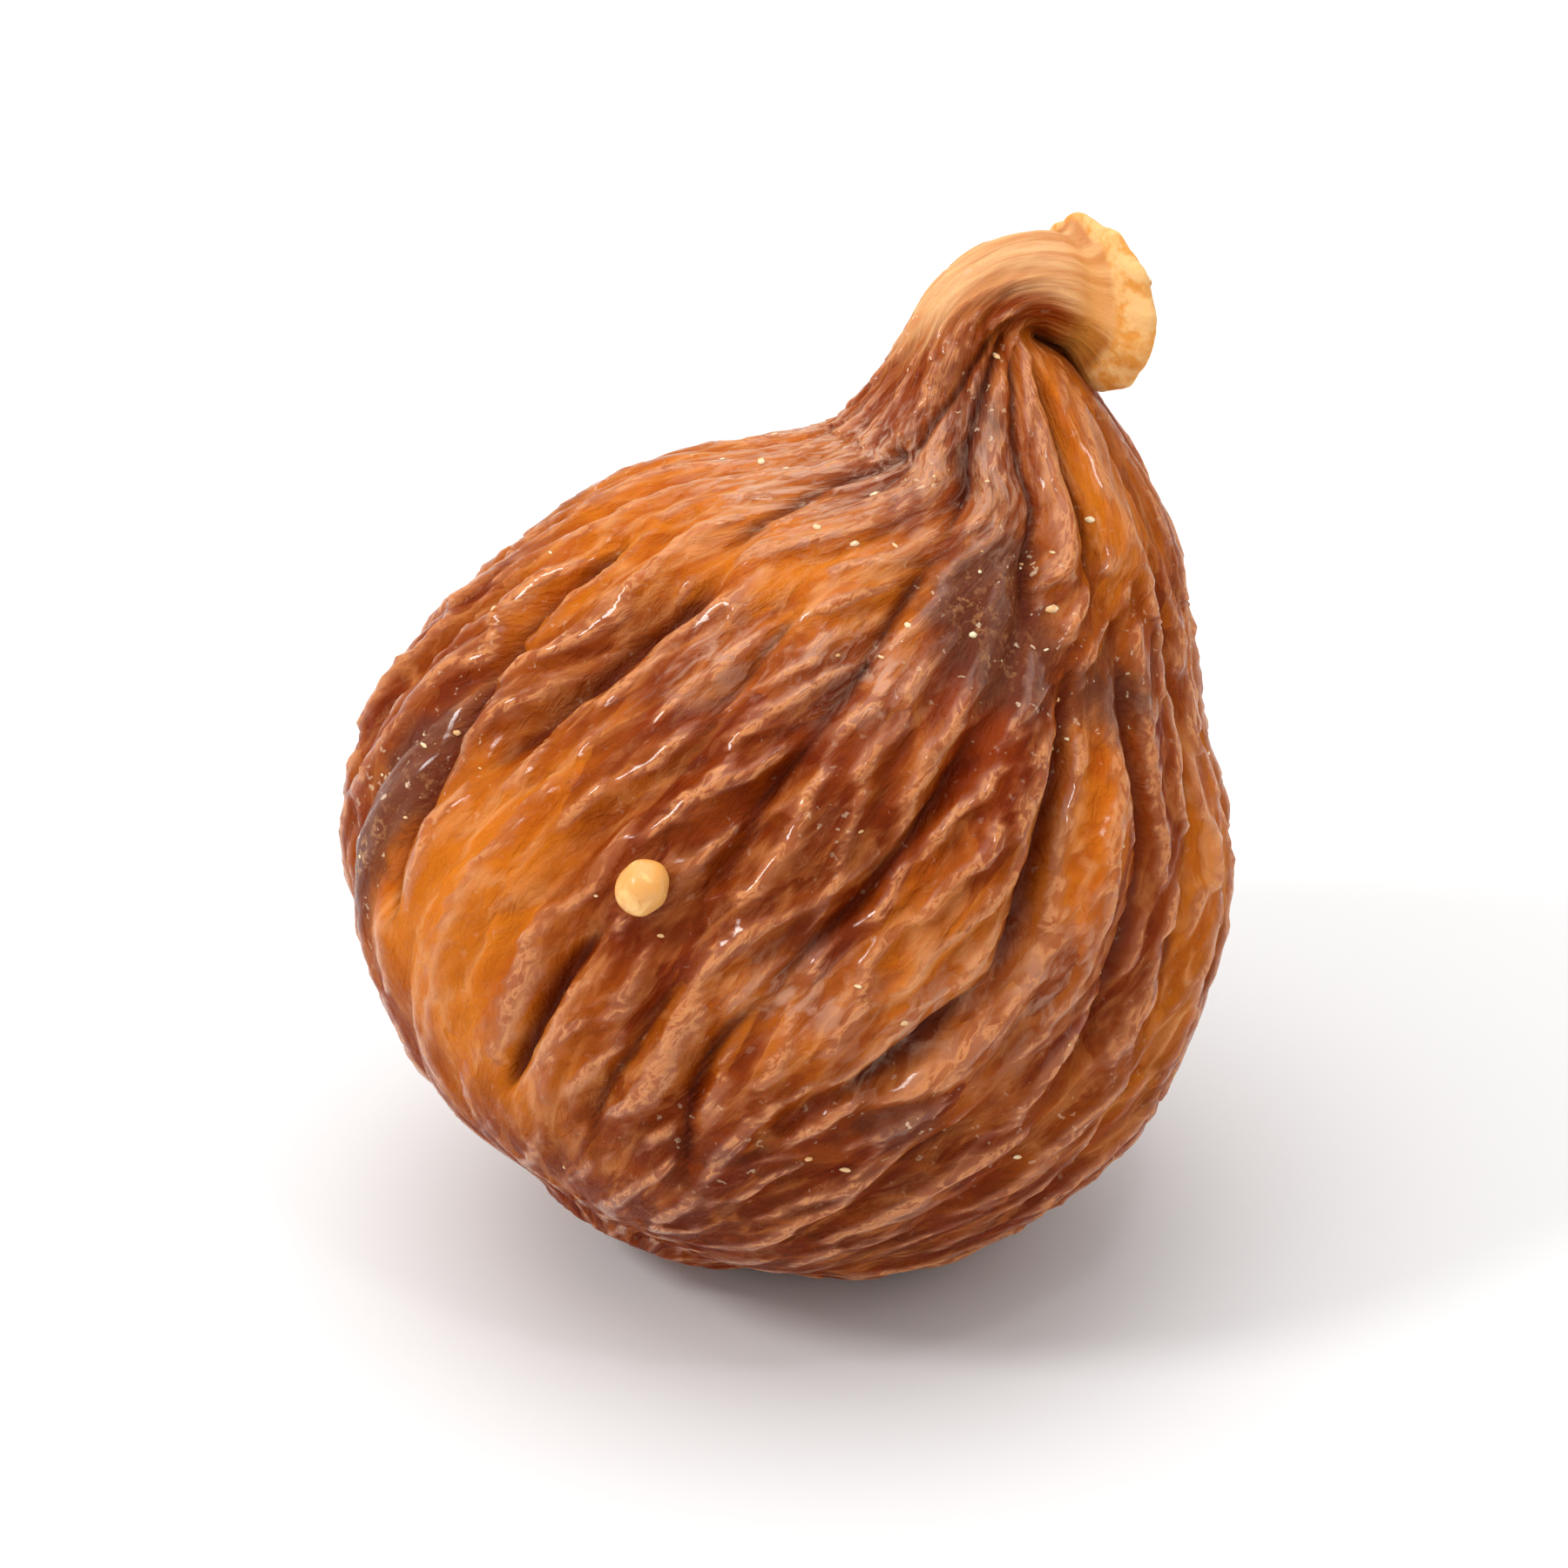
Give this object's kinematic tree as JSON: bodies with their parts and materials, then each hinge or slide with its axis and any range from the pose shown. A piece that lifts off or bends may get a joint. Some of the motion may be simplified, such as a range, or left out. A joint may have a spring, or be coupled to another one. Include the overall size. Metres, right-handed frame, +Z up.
{
  "type": "dried fig",
  "caption": "Whole dried fig lying tilted on a small flat spot: round body with lengthwise pleats, narrow neck, hooked stalk with a flared cut end, one loose seed on the skin.",
  "frame": {"origin": "middle of the flat spot that the fig rests on", "axes": "+Z up from the surface it rests on, +X towards the side that the stalk hooks to, -Y towards the viewer of the picture"},
  "size_m": [0.0337, 0.0333, 0.0383],
  "materials": {
    "fig_skin": "satin",
    "fig_seed": "satin"
  },
  "bodies": {
    "root": {"fig": "fig_skin", "seed": "fig_seed"}
  },
  "joints": []
}
